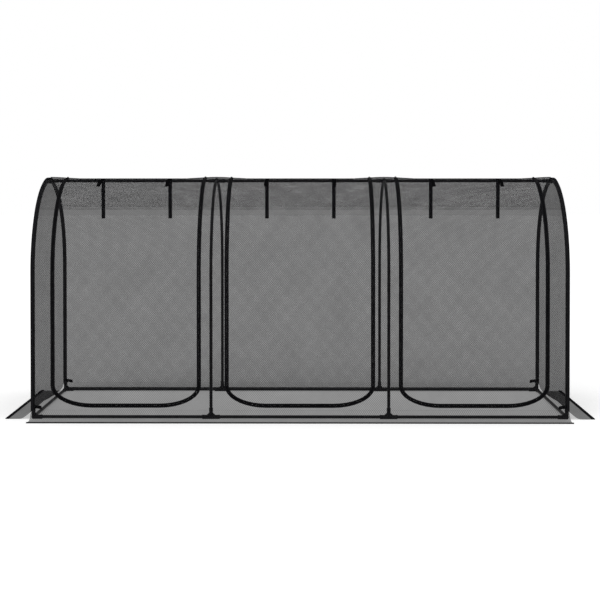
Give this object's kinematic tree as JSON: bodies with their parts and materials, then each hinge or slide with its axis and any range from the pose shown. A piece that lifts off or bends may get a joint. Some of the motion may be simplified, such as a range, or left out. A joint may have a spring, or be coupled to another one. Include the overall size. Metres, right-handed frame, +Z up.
{
  "type": "fruit cage",
  "caption": "Long netted tunnel on arched hoops with a ridge tube, a bottom frame, a ground skirt and zipped roll-up doors along the front.",
  "frame": {"origin": "on the ground under the middle of the cage", "axes": "+X along the length, -Y towards the side with the doors, +Z up"},
  "size_m": [2.9822, 1.2272, 1.2292],
  "materials": {
    "coated_tube": "satin black coating",
    "black_plastic": "moulded, fine grain",
    "black_net": "open knitted mesh",
    "black_webbing": "woven tape",
    "painted_metal": "painted black"
  },
  "bodies": {
    "cage": {"hoop_1_front": "coated_tube", "hoop_1_rear": "coated_tube", "ridge_connector_1": "black_plastic", "base_connector_1_front": "black_plastic", "base_connector_1_rear": "black_plastic", "hoop_2_front": "coated_tube", "hoop_2_rear": "coated_tube", "ridge_connector_2": "black_plastic", "base_connector_2_front": "black_plastic", "base_connector_2_rear": "black_plastic", "hoop_3_front": "coated_tube", "hoop_3_rear": "coated_tube", "ridge_connector_3": "black_plastic", "base_connector_3_front": "black_plastic", "base_connector_3_rear": "black_plastic", "hoop_4_front": "coated_tube", "hoop_4_rear": "coated_tube", "ridge_connector_4": "black_plastic", "base_connector_4_front": "black_plastic", "base_connector_4_rear": "black_plastic", "ridge_tube_1": "coated_tube", "base_tube_front_1": "coated_tube", "base_tube_rear_1": "coated_tube", "ridge_tube_2": "coated_tube", "base_tube_front_2": "coated_tube", "base_tube_rear_2": "coated_tube", "ridge_tube_3": "coated_tube", "base_tube_front_3": "coated_tube", "base_tube_rear_3": "coated_tube", "base_tube_left": "coated_tube", "base_tube_right": "coated_tube", "front_net": "black_net", "rear_net": "black_net", "end_net_left": "black_net", "end_net_right": "black_net", "zip_left": "black_webbing", "zip_centre": "black_webbing", "zip_right": "black_webbing", "corner_tie_left_front": "black_webbing", "corner_tie_left_rear": "black_webbing", "corner_tie_right_front": "black_webbing", "corner_tie_right_rear": "black_webbing"},
    "door_left": {"door_left": "black_net"},
    "slider_left_left": {"slider_left_left": "painted_metal"},
    "slider_left_right": {"slider_left_right": "painted_metal"},
    "strap_tail_left_1": {"strap_tail_left_1": "black_webbing"},
    "strap_tail_left_2": {"strap_tail_left_2": "black_webbing"},
    "door_centre": {"door_centre": "black_net"},
    "slider_centre_left": {"slider_centre_left": "painted_metal"},
    "slider_centre_right": {"slider_centre_right": "painted_metal"},
    "strap_tail_centre_1": {"strap_tail_centre_1": "black_webbing"},
    "strap_tail_centre_2": {"strap_tail_centre_2": "black_webbing"},
    "door_right": {"door_right": "black_net"},
    "slider_right_left": {"slider_right_left": "painted_metal"},
    "slider_right_right": {"slider_right_right": "painted_metal"},
    "strap_tail_right_1": {"strap_tail_right_1": "black_webbing"},
    "strap_tail_right_2": {"strap_tail_right_2": "black_webbing"}
  },
  "joints": [
    {"name": "door_left_lift", "type": "hinge", "parent": "cage", "child": "door_left", "pos_m": [-0.8806, 0, 1.22274], "axis": [-1, 0, 0], "range_deg": [0, 90]},
    {"name": "slider_left_left_run", "type": "hinge", "parent": "cage", "child": "slider_left_left", "pos_m": [-1.2506, 0, 0.7328], "axis": [1, 0, 0], "range_deg": [0, 88]},
    {"name": "slider_left_right_run", "type": "hinge", "parent": "cage", "child": "slider_left_right", "pos_m": [-0.5106, 0, 0.7328], "axis": [1, 0, 0], "range_deg": [0, 88]},
    {"name": "strap_tail_left_1_swing", "type": "hinge", "parent": "cage", "child": "strap_tail_left_1", "pos_m": [-1.0606, -0.0093, 1.2123], "axis": [-1, 0, 0], "range_deg": [0, 60]},
    {"name": "strap_tail_left_2_swing", "type": "hinge", "parent": "cage", "child": "strap_tail_left_2", "pos_m": [-0.7006, -0.0093, 1.2123], "axis": [-1, 0, 0], "range_deg": [0, 60]},
    {"name": "door_centre_lift", "type": "hinge", "parent": "cage", "child": "door_centre", "pos_m": [0, 0, 1.22274], "axis": [-1, 0, 0], "range_deg": [0, 90]},
    {"name": "slider_centre_left_run", "type": "hinge", "parent": "cage", "child": "slider_centre_left", "pos_m": [-0.37, 0, 0.7328], "axis": [1, 0, 0], "range_deg": [0, 88]},
    {"name": "slider_centre_right_run", "type": "hinge", "parent": "cage", "child": "slider_centre_right", "pos_m": [0.37, 0, 0.7328], "axis": [1, 0, 0], "range_deg": [0, 88]},
    {"name": "strap_tail_centre_1_swing", "type": "hinge", "parent": "cage", "child": "strap_tail_centre_1", "pos_m": [-0.18, -0.0093, 1.2123], "axis": [-1, 0, 0], "range_deg": [0, 60]},
    {"name": "strap_tail_centre_2_swing", "type": "hinge", "parent": "cage", "child": "strap_tail_centre_2", "pos_m": [0.18, -0.0093, 1.2123], "axis": [-1, 0, 0], "range_deg": [0, 60]},
    {"name": "door_right_lift", "type": "hinge", "parent": "cage", "child": "door_right", "pos_m": [0.8806, 0, 1.22274], "axis": [-1, 0, 0], "range_deg": [0, 90]},
    {"name": "slider_right_left_run", "type": "hinge", "parent": "cage", "child": "slider_right_left", "pos_m": [0.5106, 0, 0.7328], "axis": [1, 0, 0], "range_deg": [0, 88]},
    {"name": "slider_right_right_run", "type": "hinge", "parent": "cage", "child": "slider_right_right", "pos_m": [1.2506, 0, 0.7328], "axis": [1, 0, 0], "range_deg": [0, 88]},
    {"name": "strap_tail_right_1_swing", "type": "hinge", "parent": "cage", "child": "strap_tail_right_1", "pos_m": [0.7006, -0.0093, 1.2123], "axis": [-1, 0, 0], "range_deg": [0, 60]},
    {"name": "strap_tail_right_2_swing", "type": "hinge", "parent": "cage", "child": "strap_tail_right_2", "pos_m": [1.0606, -0.0093, 1.2123], "axis": [-1, 0, 0], "range_deg": [0, 60]}
  ]
}
